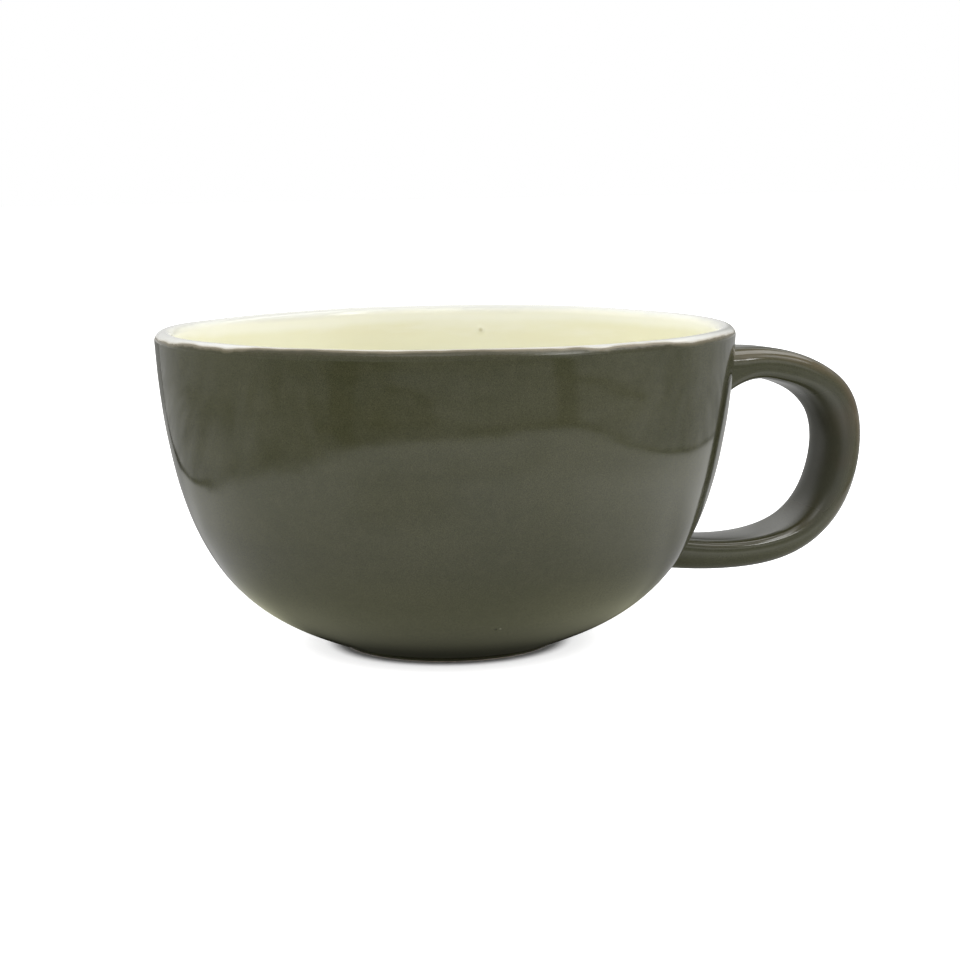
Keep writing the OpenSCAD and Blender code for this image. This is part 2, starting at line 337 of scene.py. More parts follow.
def strap(u, grow):
    """Points of the strap at stations u (rows) round its section (columns), how near each is to an edge, and how much
    of the grip's inside gets painted light and more roughness.
    """
    o, i = spline(OUTER_CTRL, u), spline(INNER_CTRL, u)
    o[:, 0] += 70
    i[:, 0] += 70
    c, d = (o + i) / 2, o - i
    t = np.linalg.norm(d, axis=1)
    n = d / t[:, None]
    w = WIDTH / 2
    # the inner edges are crisp where the strap leaves the wall, and the grip's inside is an oval
    grip = 0.8 * smooth(u, 2.6, 4.6) * (1 - smooth(u, 6.2, 8.3))
    ro = np.minimum(OUTER_EDGE + 0.9, 0.49 * t)
    ri = np.minimum(INNER_EDGE, 0.50 * t)
    # the glaze is thin on the outer edges of the upper arm and on the inner edges of the lower one
    thin_out = 1 - 0.80 * smooth(u, 4.6, 6.4)
    thin_in = 0.75 * smooth(u, 6.0, 7.6)
    proud_out = 0.21 + 0.09 * smooth(u, 3.6, 4.4) * (1 - smooth(u, 6.6, 7.4))
    proud_in = 0.20 + 0.34 * smooth(u, 2.0, 3.0) * (1 - smooth(u, 4.0, 4.8))
    pts = np.empty((len(u), AROUND, 3))
    edge = np.empty((len(u), AROUND, 2))
    g = np.exp(-0.5 * (np.arange(-30, 31) / 8.5) ** 2)
    g /= g.sum()
    for k in range(len(u)):
        h = t[k] / 2
        line, tag = [], []
        for q in range(4):
            r = ro[k] if q < 2 else ri[k]
            sx, sy = (1 if q in (0, 3) else -1), (1 if q < 2 else -1)
            a = np.radians(90 * q + np.linspace(0, 90, 24))
            part = np.stack([sx * (w - r) + (r + grow) * np.cos(a), sy * (h - r) + (r + grow) * np.sin(a)], 1)
            if q > 1:
                oval = np.stack([(w + grow) ** 2 * np.cos(a), (h + grow) ** 2 * np.sin(a)], 1)
                oval /= np.hypot((w + grow) * np.cos(a), (h + grow) * np.sin(a))[:, None]
                part = part * (1 - grip[k]) + oval * grip[k]
            line.append(part)
            tag.append(np.clip(1 - np.abs(np.linspace(-1, 1, 24)), 0, 1) * (thin_out[k] if q < 2 else thin_in[k]))
        p = np.concatenate(line + [line[0][:1]])
        e = np.concatenate(tag + [tag[0][:1]])
        s = np.concatenate([[0], np.cumsum(np.hypot(*np.diff(p, axis=0).T))])
        x = np.arange(DENSE) * s[-1] / DENSE
        ring = np.stack([np.interp(x, s, p[:, 0]), np.interp(x, s, p[:, 1]), np.interp(x, s, e)], 1)
        pad = np.concatenate([ring[-30:], ring, ring[:30]])
        soft = np.stack([np.convolve(pad[:, j], g, "valid") for j in range(3)], 1)
        # the faces are slightly crowned
        full = (w + grow) / np.abs(soft[:, 0]).max()
        tall = (h + grow) / np.abs(soft[:, 1]).max()
        x, y = soft[:, 0] * full, soft[:, 1] * tall
        y = y - np.where(y > 0, 0.30, 0.45) * (np.abs(x) / w) ** 2.5 * smooth(np.abs(y), 0.0, 0.8 * h) * np.sign(y)
        # and stand a little proud of the flat strap, most round the grip
        y = y + np.where(y > 0, proud_out[k], proud_in[k]) * smooth(np.abs(y), 0.0, 0.6 * h) * np.sign(y)
        pick = slice(0, DENSE, DENSE // AROUND)
        pts[k, :, 0] = c[k, 0] + n[k, 0] * y[pick]
        pts[k, :, 1] = x[pick]
        pts[k, :, 2] = c[k, 1] + n[k, 1] * y[pick]
        edge[k, :, 0] = soft[pick, 2]
        # how much of the grip's inside gets its painted light and extra roughness
        edge[k, :, 1] = 1.25 * grip[k] * smooth(-y[pick], -0.5 * h, 0.4 * h)
    return pts, edge


class Lines:
    """The strap as lines along its length, one for each point of its section."""

    def __init__(self, grow):
        self.u = np.linspace(0.2, 10.85, 2400)
        self.step = self.u[1] - self.u[0]
        self.pts, self.edge = strap(self.u, grow)
        self.dist = off_wall(self.pts)
        du = np.gradient(self.pts, axis=0)
        dv = np.roll(self.pts, -1, axis=1) - np.roll(self.pts, 1, axis=1)
        n = np.cross(dv, du)
        n /= np.linalg.norm(n, axis=2)[..., None]
        mid = self.pts.mean(axis=1, keepdims=True)
        self.nrm = n * np.sign(((self.pts - mid) * n).sum(-1).mean())

    def along(self, u):
        """Point, normal and edge value on each line at u (one per line)."""
        x = (u - self.u[0]) / self.step
        i = np.clip(x.astype(int), 0, len(self.u) - 2)
        f = (x - i)[:, None]
        k = np.arange(AROUND)
        p = self.pts[i, k] * (1 - f) + self.pts[i + 1, k] * f
        m = self.nrm[i, k] * (1 - f) + self.nrm[i + 1, k] * f
        return p, m / np.linalg.norm(m, axis=1)[:, None], self.edge[i, k]

    def crossing(self, target, upper):
        """Where each line is at a distance from the wall, near its upper or its lower end."""
        half = len(self.u) // 2
        out = np.empty(AROUND)
        for k in range(AROUND):
            d = self.dist[:, k]
            if upper:
                i = np.nonzero(d[:half] < target)[0][-1]
            else:
                i = np.nonzero(d[half:] < target)[0][0] + half - 1
            out[k] = self.u[i] + (target - d[i]) / (d[i + 1] - d[i]) * self.step
        return out


def on_the_wall(q, d):
    """Points moved square to the wall until they are d millimetres outside it."""
    for _ in range(3):
        n = wall_normal(np.arctan2(q[:, 1], q[:, 0]), q[:, 2])
        q = q + n * (d - off_wall(q))[:, None]
    return q


def handle_skin(grow, body_rows, skirt_rows, sink):
    """The strap's face with a hollow fillet at each end that runs out on the wall."""
    lines = Lines(grow)

    def skirt(upper):
        rings, near = [], []
        for phi in np.linspace(0, 90, skirt_rows + 1)[1:]:
            e = FILLET * (1 - math.cos(math.radians(phi)))
            d = FILLET * (1 - math.sin(math.radians(phi)))
            p, m, ed = lines.along(lines.crossing(d, upper))
            wn = wall_normal(np.arctan2(p[:, 1], p[:, 0]), p[:, 2])
            tan = m - (m * wn).sum(1)[:, None] * wn
            tan /= np.linalg.norm(tan, axis=1)[:, None]
            rings.append(on_the_wall(p + tan * e, d))
            near.append(ed * (1 - phi / 90))
        rings.append(on_the_wall(rings[-1] + tan * 0.6, -sink))
        near.append(np.zeros((AROUND, 2)))
        return rings, near

    top, bot = lines.crossing(FILLET, True), lines.crossing(FILLET, False)
    body, near = [], []
    for v in np.linspace(0, 1, body_rows):
        p, m, ed = lines.along(top * (1 - v) + bot * v)
        body.append(p)
        near.append(ed)
    a, na = skirt(True)
    b, nb = skirt(False)
    return a[::-1] + body + b, na[::-1] + near + nb


def handle_clay(rows):
    """The clay strap inside the glaze, closed at each end on the wall."""
    lines = Lines(-GLAZE - 0.02)
    top, bot = lines.crossing(-0.02, True), lines.crossing(-0.02, False)
    body = [lines.along(top * (1 - v) + bot * v)[0] for v in np.linspace(0, 1, rows)]
    caps = [on_the_wall(r.mean(axis=0)[None, :], -0.02) for r in (body[0], body[-1])]
    return [caps[0]] + body + [caps[1]]


face, near = handle_skin(0.0, 300, 16, 0.02)
back, near_b = handle_skin(-GLAZE, 110, 6, 0.05)
rows = face + back[::-1]
values = {
    "line": [np.full(AROUND, 30.0)] * len(rows),
    "foot": [np.full(AROUND, 30.0)] * len(rows),
    "over": [np.full(AROUND, 30.0)] * len(rows),
    "edge": [v[:, 0] for v in near + near_b[::-1]],
    "soft": [v[:, 1] for v in near + near_b[::-1]],
}
handle = build("handle_glaze_skin", rows, True, values)
strap_clay = build("handle_clay", handle_clay(110), False)


# ---------------------------------------------------------------- materials
class Nodes:
    """Short names for the nodes of one material."""

    def __init__(self, name):
        self.mat = bpy.data.materials.new(name)
        self.mat.use_nodes = True
        self.nt = self.mat.node_tree
        self.bsdf = next(n for n in self.nt.nodes if n.type == "BSDF_PRINCIPLED")
        self.coord = self.nt.nodes.new("ShaderNodeTexCoord").outputs["Object"]

    def link(self, a, b):
        self.nt.links.new(a, b)

    def put(self, socket, value):
        if isinstance(value, bpy.types.NodeSocket):
            self.link(value, socket)
        elif isinstance(value, (tuple, list)) and len(value) == 3 and socket.type == "RGBA":
            socket.default_value = (*value, 1)
        else:
            socket.default_value = value

    def node(self, kind, **inputs):
        n = self.nt.nodes.new(kind)
        for k, v in inputs.items():
            if hasattr(n, k) and k not in [s.name for s in n.inputs]:
                setattr(n, k, v)
            else:
                self.put(n.inputs[k.replace("_", " ")], v)
        return n

    def math(self, op, a, b=0.0, clamp=False):
        n = self.nt.nodes.new("ShaderNodeMath")
        n.operation, n.use_clamp = op, clamp
        self.put(n.inputs[0], a)
        self.put(n.inputs[1], b)
        return n.outputs[0]

    def stretch(self, scale, offset=(0, 0, 0)):
        n = self.nt.nodes.new("ShaderNodeMapping")
        self.link(self.coord, n.inputs["Vector"])
        n.inputs["Scale"].default_value = scale
        n.inputs["Location"].default_value = offset
        return n.outputs[0]

    def noise(self, scale, detail=3.0, rough=0.5, vector=None, distortion=0.0):
        n = self.nt.nodes.new("ShaderNodeTexNoise")
        self.link(vector or self.coord, n.inputs["Vector"])
        n.inputs["Scale"].default_value = scale
        n.inputs["Detail"].default_value = detail
        n.inputs["Roughness"].default_value = rough
        n.inputs["Distortion"].default_value = distortion
        return n.outputs["Fac"]

    def voronoi(self, scale, vector=None, what="Distance"):
        n = self.nt.nodes.new("ShaderNodeTexVoronoi")
        self.link(vector or self.coord, n.inputs["Vector"])
        n.inputs["Scale"].default_value = scale
        return n.outputs[what]

    def range(self, value, a, b, c=0.0, d=1.0):
        n = self.nt.nodes.new("ShaderNodeMapRange")
        n.interpolation_type = "SMOOTHSTEP"
        self.put(n.inputs["Value"], value)
        for k, v in zip(("From Min", "From Max", "To Min", "To Max"), (a, b, c, d)):
            n.inputs[k].default_value = v
        return n.outputs[0]

    def mix(self, fac, a, b, how="MIX"):
        n = self.nt.nodes.new("ShaderNodeMix")
        n.data_type, n.blend_type = "RGBA", how
        self.put(n.inputs["Factor"], fac)
        self.put(n.inputs["A"] if False else n.inputs[6], a)
        self.put(n.inputs[7], b)
        return n.outputs[2]

    def attribute(self, name):
        n = self.nt.nodes.new("ShaderNodeAttribute")
        n.attribute_name = name
        return n.outputs["Fac"]

    def bump(self, height, distance, strength=1.0, after=None):
        n = self.nt.nodes.new("ShaderNodeBump")
        n.inputs["Strength"].default_value = strength
        n.inputs["Distance"].default_value = distance
        self.put(n.inputs["Height"], height)
        if after is not None:
            self.link(after, n.inputs["Normal"])
        return n.outputs[0]

    def spot(self, at, radius):
        """1 at a point in millimetres and 0 past a radius."""
        n = self.nt.nodes.new("ShaderNodeVectorMath")
        n.operation = "DISTANCE"
        self.link(self.coord, n.inputs[0])
        n.inputs[1].default_value = [v * 0.001 for v in at]
        return self.range(n.outputs["Value"], 0.0, radius * 0.001, 1.0, 0.0)


def olive():
    m = Nodes("olive_glaze")
    line, foot_d, edge, over = (m.attribute(k) for k in ("line", "foot", "edge", "over"))
    cloud = m.noise(26, 3, 0.55)
    fine = m.noise(330, 4, 0.6)
    bands = m.noise(60, 3, 0.6, m.stretch((0.35, 0.35, 2.2)))
    base = m.mix(m.range(cloud, 0.35, 0.68), (0.050, 0.051, 0.0245), (0.059, 0.059, 0.029))
    base = m.mix(m.math("MULTIPLY", m.range(bands, 0.40, 0.70), 0.5), base, (0.044, 0.045, 0.021))
    base = m.mix(m.math("MULTIPLY", m.range(fine, 0.40, 0.70), 0.35), base, (0.066, 0.064, 0.034))
    dust = m.mix(m.range(m.noise(9000, 1, 0.5), 0.30, 0.70), (0.60, 0.60, 0.60), (1.40, 1.40, 1.40))
    base = m.mix(1.0, base, dust, "MULTIPLY")
    specks = m.range(m.voronoi(900), 0.0, 0.16, 1.0, 0.0)
    where = m.range(m.noise(300, 2), 0.56, 0.66)
    base = m.mix(m.math("MULTIPLY", m.math("MULTIPLY", specks, where), 0.45), base, (0.020, 0.019, 0.010))
    # thin glaze breaks to brown on the strap's outer edges and over the lip
    ragged = m.noise(120, 3, 0.6)
    thin = m.math("MULTIPLY", m.range(edge, 0.10, 0.8), m.range(ragged, 0.30, 0.75, 0.35, 0.85))
    base = m.mix(thin, base, (0.120, 0.092, 0.050))
    ragged = m.noise(420, 3, 0.6)
    lip = m.math("MULTIPLY", m.range(over, 0.4, 3.6, 1.0, 0.0), m.range(ragged, 0.25, 0.75, 0.55, 0.95))
    base = m.mix(m.math("MULTIPLY", lip, 0.7), base, (0.085, 0.066, 0.038))
    reach = m.math("ADD", 0.55, m.math("MULTIPLY", ragged, 0.9))
    under = m.math("SUBTRACT", 1.0, m.math("DIVIDE", line, reach), clamp=True)
    under = m.math("MULTIPLY", under, m.range(over, 1.0, 3.2, 1.0, 0.45))
    base = m.mix(m.math("MULTIPLY", m.math("POWER", under, 0.8), 0.85), base, (0.30, 0.255, 0.175))
    # the inside of the grip is painted lighter and greyer, painted light that lifts the dark reflection there, and is
    # made rougher; brown shows through in patches on the side of the bend
    grip_painted_light_and_rough = m.attribute("soft")
    base = m.mix(m.math("MULTIPLY", grip_painted_light_and_rough, 0.6, clamp=True), base, (0.066, 0.066, 0.048))
    patches = m.range(m.noise(75, 3, 0.6), 0.42, 0.64)
    for at, radius in (((112, -9, 52), 13), ((105, -9, 31), 18)):
        base = m.mix(m.math("MULTIPLY", m.math("MULTIPLY", m.spot(at, radius), patches), 0.55), base, (0.080, 0.060, 0.037))
    # painted shade: the last quarter millimetre above the glaze's lower edge, at the crease by the foot, is painted
    # dark
    painted_foot_shade = m.range(foot_d, 0.0, 0.25, 0.5, 0.0)
    base = m.mix(painted_foot_shade, base, (0.030, 0.026, 0.018))
    # the pinhole: painted shade on its dented side, then a painted glint beside it
    base = m.mix(m.math("MULTIPLY", m.spot(PIT_SHADED_SIDE, 0.55), 0.55), base, (0.014, 0.013, 0.008))
    base = m.mix(m.math("MULTIPLY", m.spot(PINHOLE_GLINT, 0.42), 0.8), base, (0.30, 0.30, 0.24))
    m.link(base, m.bsdf.inputs["Base Color"])
    rough = m.math("ADD", 0.075, m.math("MULTIPLY", m.noise(90, 3), 0.05))
    rough = m.math("ADD", rough, m.math("MULTIPLY", lip, 0.70))
    rough = m.math("ADD", rough, m.math("MULTIPLY", grip_painted_light_and_rough, 0.25))
    m.link(rough, m.bsdf.inputs["Roughness"])
    m.bsdf.inputs["IOR"].default_value = 1.52
    peel = m.noise(210, 2, 0.45)
    rings = m.noise(150, 2, 0.5, m.stretch((0.22, 0.22, 1.6)))
    pin = m.math("MULTIPLY", m.spot(PIT_SHADED_SIDE, 0.7), -1.0)
    h = m.math("ADD", m.math("MULTIPLY", peel, 0.6), m.math("MULTIPLY", rings, 0.5))
    n = m.bump(h, 0.00003)
    n = m.bump(pin, 0.0002, after=n)
    m.link(n, m.bsdf.inputs["Normal"])
    return m.mat


def cream():
    m = Nodes("cream_glaze")
    line = m.attribute("line")
    cloud = m.noise(20, 3, 0.5)
    streak = m.noise(42, 3, 0.55, m.stretch((0.5, 0.5, 2.6)))
    milky = m.noise(30, 4, 0.6, m.stretch((0.6, 0.6, 3.4), (0.3, 0.1, 0.2)))
    base = m.mix(m.range(cloud, 0.35, 0.7), (0.825, 0.81, 0.62), (0.855, 0.845, 0.67))
    base = m.mix(m.math("MULTIPLY", m.range(streak, 0.42, 0.68), 0.55), base, (0.82, 0.79, 0.58))
    base = m.mix(m.math("MULTIPLY", m.range(milky, 0.50, 0.68), 0.6), base, (0.885, 0.875, 0.765))
    # painted light: a paler band a few millimetres down the inside; painted shade: the lip and its top a darker grey,
    # holding down the light the top catches
    base = m.mix(m.range(line, 5.4, 7.6, 0.8, 0.0), base, (0.91, 0.905, 0.81))
    base = m.mix(m.range(line, 2.3, 4.6, 0.90, 0.0), base, (0.68, 0.68, 0.64))
    tiny = m.range(m.voronoi(520), 0.0, 0.10, 1.0, 0.0)
    base = m.mix(m.math("MULTIPLY", m.math("MULTIPLY", tiny, m.range(m.noise(240, 2), 0.60, 0.68)), 0.25), base, (0.66, 0.60, 0.42))
    reach = m.math("ADD", 0.30, m.math("MULTIPLY", m.noise(380, 3, 0.6), 0.55))
    near = m.math("SUBTRACT", 1.0, m.math("DIVIDE", line, reach), clamp=True)
    base = m.mix(m.math("MULTIPLY", near, 0.75), base, (0.46, 0.41, 0.31))
    base = m.mix(m.math("MULTIPLY", m.spot(SPECK, 0.9), 0.6), base, (0.42, 0.38, 0.20))
    m.link(base, m.bsdf.inputs["Base Color"])
    rough = m.math("ADD", 0.07, m.math("MULTIPLY", m.noise(70, 3), 0.05))
    m.link(rough, m.bsdf.inputs["Roughness"])
    m.bsdf.inputs["IOR"].default_value = 1.5
    h = m.math("ADD", m.math("MULTIPLY", m.noise(190, 2, 0.45), 0.6), m.math("MULTIPLY", m.noise(120, 2, 0.5, m.stretch((0.25, 0.25, 1.6))), 0.6))
    n = m.bump(h, 0.00004)
    n = m.bump(m.spot(SPECK, 1.6), 0.0002, after=n)
    m.link(n, m.bsdf.inputs["Normal"])
    return m.mat


def bare(name, tint, rough=0.78):
    m = Nodes(name)
    grain = m.noise(1500, 4, 0.7)
    cloud = m.noise(60, 3, 0.5)
    a = tuple(v * 0.86 for v in tint)
    b = tuple(min(1.0, v * 1.08) for v in tint)
    base = m.mix(m.range(grain, 0.35, 0.65), a, b)
    base = m.mix(m.math("MULTIPLY", m.range(cloud, 0.4, 0.7), 0.35), base, (tint[0] * 0.92, tint[1] * 0.80, tint[2] * 0.64))
    iron = m.range(m.voronoi(700), 0.0, 0.14, 1.0, 0.0)
    base = m.mix(m.math("MULTIPLY", m.math("MULTIPLY", iron, m.range(m.noise(260, 2), 0.55, 0.62)), 0.8), base, (0.16, 0.10, 0.06))
    m.link(base, m.bsdf.inputs["Base Color"])
    m.link(m.math("ADD", rough, m.math("MULTIPLY", grain, 0.15)), m.bsdf.inputs["Roughness"])
    n = m.bump(grain, 0.00012)
    m.link(n, m.bsdf.inputs["Normal"])
    return m.mat


# a pinhole low on the outside: a small dent whose one side is painted dark, painted shade, with a painted glint beside
# it; and a speck inside, placed on the wall
def on_wall(azimuth, z):
    th = math.radians(azimuth)
    r = float(wall_radius(np.array(th), np.array(z)))
    return (r * math.cos(th), r * math.sin(th), z)


PINHOLE_GLINT = on_wall(-97.95, 12.6)
PIT_SHADED_SIDE = on_wall(-99.25, 12.4)
SPECK = (32.7, 56.7, 71.4)

MATS = {
    "olive": olive(),
    "cream": cream(),
    "clay": bare("fired_clay", (0.62, 0.53, 0.41)),
    "slip": bare("fired_slip", (0.56, 0.47, 0.36), 0.7),
}

outer.data.materials.append(MATS["olive"])
handle.data.materials.append(MATS["olive"])
liner.data.materials.append(MATS["cream"])
clay.data.materials.append(MATS["clay"])
strap_clay.data.materials.append(MATS["clay"])
for node, mat in (("upper_slip_joint", "slip"), ("lower_slip_joint", "slip")):
    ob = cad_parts[node]
    ob.data.materials.clear()
    ob.data.materials.append(MATS[mat])

for ob, node, slot in (
    (outer, "outer_glaze", "olive_glaze"),
    (handle, "handle_glaze", "olive_glaze"),
    (liner, "liner_glaze", "cream_glaze"),
    (clay, "bowl_body", "fired_clay"),
    (strap_clay, "handle", "fired_clay"),
):
    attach(ob, "root")
    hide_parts(node)

# ---------------------------------------------------------------- studio
TURN = math.radians(21.55)  # the handle points this far away from the camera's right


def placed(x, y):
    """From the camera's own right and depth, in millimetres, to the mug's frame in metres."""
    c, s = math.cos(TURN), math.sin(TURN)
    return ((x * c + y * s) * 0.001, (-x * s + y * c) * 0.001)


side = 6.0
me = bpy.data.meshes.new("floor")
me.from_pydata([(-side, -side, 0), (side, -side, 0), (side, side, 0), (-side, side, 0)], [], [(0, 1, 2, 3)])
floor = bpy.data.objects.new("floor", me)
bpy.context.scene.collection.objects.link(floor)
m = Nodes("floor_white")
soft = m.mix(m.range(m.noise(3.0, 2), 0.3, 0.7), (0.82, 0.82, 0.82), (0.80, 0.80, 0.80))
m.link(soft, m.bsdf.inputs["Base Color"])
m.bsdf.inputs["Roughness"].default_value = 0.9
m.bsdf.inputs["Specular IOR Level"].default_value = 0.0
n = m.nt.nodes.new("ShaderNodeVectorMath")
n.operation = "LENGTH"
m.link(m.coord, n.inputs[0])
m.bsdf.inputs["Emission Color"].default_value = (1, 1, 1, 1)
# painted light: the floor the camera sees glows, keeping it white and washing out the mug's shadow on it, all but a
# thin ring at the foot
glow = m.math("ADD", m.range(n.outputs["Value"], 0.0262, 0.031, 0.0, 0.70), m.range(n.outputs["Value"], 0.029, 0.046, 0.0, 0.35))
m.link(glow, m.bsdf.inputs["Emission Strength"])
floor.data.materials.append(m.mat)
floor.location.z = -0.00002
floor.visible_diffuse = floor.visible_glossy = False
# a glowing floor that only diffuse and glossy light sees, painted light standing in for the floor's bounce, dimmed near
# the foot as painted shadow of the mug
bounce = bpy.data.objects.new("floor_bounce", me.copy())
bpy.context.scene.collection.objects.link(bounce)
m = Nodes("floor_bounce")
m.nt.nodes.remove(m.bsdf)
out = next(n for n in m.nt.nodes if n.type == "OUTPUT_MATERIAL")
em = m.nt.nodes.new("ShaderNodeEmission")
n = m.nt.nodes.new("ShaderNodeVectorMath")
n.operation = "LENGTH"
m.link(m.coord, n.inputs[0])
m.link(m.range(n.outputs["Value"], 0.026, 0.12, 0.08, 1.0), em.inputs["Strength"])
m.link(em.outputs[0], out.inputs["Surface"])
bounce.data.materials.clear()
bounce.data.materials.append(m.mat)
bounce.location.z = -0.0004
bounce.visible_camera = bounce.visible_shadow = False

# what the gloss sees below the horizon: the lit sheet that the mug stands on, and a darker table past its edge
EDGE = [(207, 150), (203, 80), (192, -6), (182, -96), (153, -169), (110, -196), (65, -207), (4, -210), (-54, -196), (-93, -169), (-129, -129),
        (-158, -48), (-155, 14), (-160, 80), (-167, 160), (-179, 219), (-201, 286), (-232, 350), (-276, 418), (-323, 508), (-393, 640),
        (-620, 1040), (-1560, 2700), (0, 3300), (1560, 2700), (620, 1040), (260, 420), (215, 300), (203, 230)]
BACK_LEFT = EDGE[12:22]


def closed_curve(points, n):
    p = np.array(points, float)
    k = len(p)
    out = []
    for x in np.arange(n) * k / n:
        i = int(x)
        t = x - i
        a, b, c, d = (p[(i + j) % k] for j in (-1, 0, 1, 2))
        out.append(0.5 * ((2 * b) + (-a + c) * t + (2 * a - 5 * b + 4 * c - d) * t * t + (-a + 3 * b - 3 * c + d) * t**3))
    return np.array(out)


curve = closed_curve(EDGE, 720)
ca = np.arctan2(curve[:, 0], -curve[:, 1])
order = np.argsort(ca)
CARD = 720
az = -math.pi + TAU * (np.arange(CARD) + 0.5) / CARD
rim = np.interp(az, ca[order], np.hypot(*curve.T)[order], period=TAU)
radii = np.concatenate([np.linspace(22, 130, 37), np.linspace(135, 400, 54), np.geomspace(407, 2600, 40)])
rr, aa = np.meshgrid(radii, az, indexing="ij")
deg = np.degrees(aa)
beyond = rr - rim[None, :]
flat_x, flat_y = rr * np.sin(aa), -rr * np.cos(aa)


def away(points):
    """Distance on the table from a line through points, in millimetres."""
    d = np.full(rr.shape, 1e9)
    for (ax, ay), (bx, by) in zip(points[:-1], points[1:]):
        t = np.clip(((flat_x - ax) * (bx - ax) + (flat_y - ay) * (by - ay)) / ((bx - ax) ** 2 + (by - ay) ** 2), 0, 1)
        d = np.minimum(d, np.hypot(flat_x - ax - t * (bx - ax), flat_y - ay - t * (by - ay)))
    return d


# at the back left the edge runs nearly straight away from the mug, so there it is measured square to itself
square = smooth(-deg, 112, 126)
beyond = beyond * (1 - square) + np.sign(beyond) * away(BACK_LEFT) * square


def around(centre, width, inner=0.0):
    """1 near a compass angle in degrees, and 0 past a width from it."""
    d = np.abs((deg - centre + 180) % 360 - 180)
    return 1 - smooth(d, inner, width)


def stroke(points, half):
    """1 along a line through points on the table, in millimetres, and 0 past half a width from it."""
    return np.exp(-0.5 * (away(points) / half) ** 2)


right_side, front_side, left_side = around(84, 62, 34), around(8, 52, 26), around(-68, 46, 20)
left_back = around(-120, 34, 16)
far_left = around(-146, 22, 8)
# the sheet is painted dark at the foot and darker near the mug on its right and behind it, painted shadow of the mug; a
# dark stroke lies across its front
sheet = 0.03 + 0.60 * smooth(rr, 28, 52) + 0.30 * smooth(rr, 60, 150) + 0.18 * around(95, 60) - 0.06 * around(-110, 70)
sheet = sheet - 0.34 * around(100, 62) * (1 - smooth(rr, 85, 160)) - 0.46 * smooth(np.abs(deg), 118, 142)
sheet = sheet - 0.24 * smooth(np.abs(deg), 128, 152) * (1 - smooth(rr, 90, 150))
sheet = sheet - 0.18 * around(-154, 16) * smooth(rr, 400, 480) - 0.14 * around(-115, 20) * smooth(rr, 90, 120) * (1 - smooth(rr, 170, 220))
sheet = sheet - 0.13 * around(107, 22, 6) + 0.18 * around(66, 34, 14) * smooth(rr, 70, 100) * (1 - smooth(rr, 135, 175))
sheet = sheet - 0.06 * around(-67, 24) * (1 - smooth(rr, 60, 90))
sheet = sheet - 0.22 * around(-14, 26, 6) * smooth(rr, 95, 125) * (1 - smooth(rr, 150, 190))
sheet = sheet - 0.16 * stroke([(10, -166), (48, -157), (96, -156)], 8)
past = 0.46 + 0.20 * around(80, 60) - 0.18 * around(95, 16, 4) - 0.16 * around(-42, 34, 18) + 0.10 * around(180, 70) - 0.04 * around(-100, 50)
# two dark uprights, as of window bars or a person, and what lies on the table
past = past - around(-35.4, 6.2, 2.8) * (0.12 * smooth(beyond, 0, 14) + 0.14 * smooth(beyond, 60, 140))
past = past - around(42.0, 5.6, 2.5) * 0.30 * smooth(beyond, 0, 14)
past = past - 0.18 * smooth(beyond, 190, 235) * around(2, 60, 30)
past = past + 0.09 * smooth(beyond, 20, 45) * (1 - smooth(beyond, 75, 115)) * around(-70, 34, 14)
past = past - 0.14 * stroke([(-363, 144), (-324, 80), (-288, -14)], 34)
past = past - 0.62 * stroke([(-106, -307), (-65, -302), (-27, -285)], 7)
past = past - 0.70 * stroke([(240, -300), (262, -240), (286, -197), (309, -89)], 8)
past = past - 0.16 * stroke([(-194, -196), (-130, -250), (-40, -262)], 15)
past = past - 0.22 * stroke([(-160, -176), (-92, -225), (-22, -240)], 9)
past = past - 0.15 * (1 - smooth(beyond, 6, 50)) * around(6, 46, 32)
width = 3.0 + 7.0 * front_side + 15.0 * left_side + 1.5 * left_back
jitter = 0.10 + 0.35 * front_side + 1.0 * left_side
# painted shadow: how dark the thin line along the sheet's edge is
edge_shadow = 0.52 * right_side + 0.20 * front_side + 0.08 * left_side + 0.42 * left_back + 0.40 * far_left
reach_of = 4.0 + 5.0 * right_side + 12.0 * front_side + 10.0 * left_side + 3.0 * left_back + 4.0 * far_left
verts = [(*placed(r * math.sin(a), -r * math.cos(a)), 0.0006) for r, a in zip(rr.ravel(), aa.ravel())]
faces = [(i * CARD + k, i * CARD + (k + 1) % CARD, (i + 1) * CARD + (k + 1) % CARD, (i + 1) * CARD + k) for i in range(len(radii) - 1) for k in range(CARD)]
me = bpy.data.meshes.new("table_in_reflections")
me.from_pydata(verts, [], faces)
for key, val in (("sheet", sheet), ("past", past), ("beyond", beyond), ("width", width), ("jitter", jitter), ("edge_shadow", edge_shadow), ("reach", reach_of),
                 ("near", 1 - smooth(rr, 45, 85))):
    me.attributes.new(key, "FLOAT", "POINT").data.foreach_set("value", np.asarray(val, np.float32).ravel())
table = bpy.data.objects.new("table_in_reflections", me)
bpy.context.scene.collection.objects.link(table)
m = Nodes("table_in_reflections")
m.nt.nodes.remove(m.bsdf)
out = next(n for n in m.nt.nodes if n.type == "OUTPUT_MATERIAL")
em = m.nt.nodes.new("ShaderNodeEmission")
m.link(m.mix(m.attribute("near"), (1.0, 1.0, 0.98), (1.0, 1.0, 0.72)), em.inputs["Color"])
long_way = m.stretch((0.22, 1.0, 1.0))
wobble = m.math("MULTIPLY", m.math("MULTIPLY", m.math("SUBTRACT", m.noise(16, 3, 0.6, long_way), 0.5), 60.0), m.attribute("jitter"))
edge_at = m.math("ADD", m.attribute("beyond"), wobble)
side_of = m.range(m.math("DIVIDE", edge_at, m.attribute("width")), -1.0, 1.0)
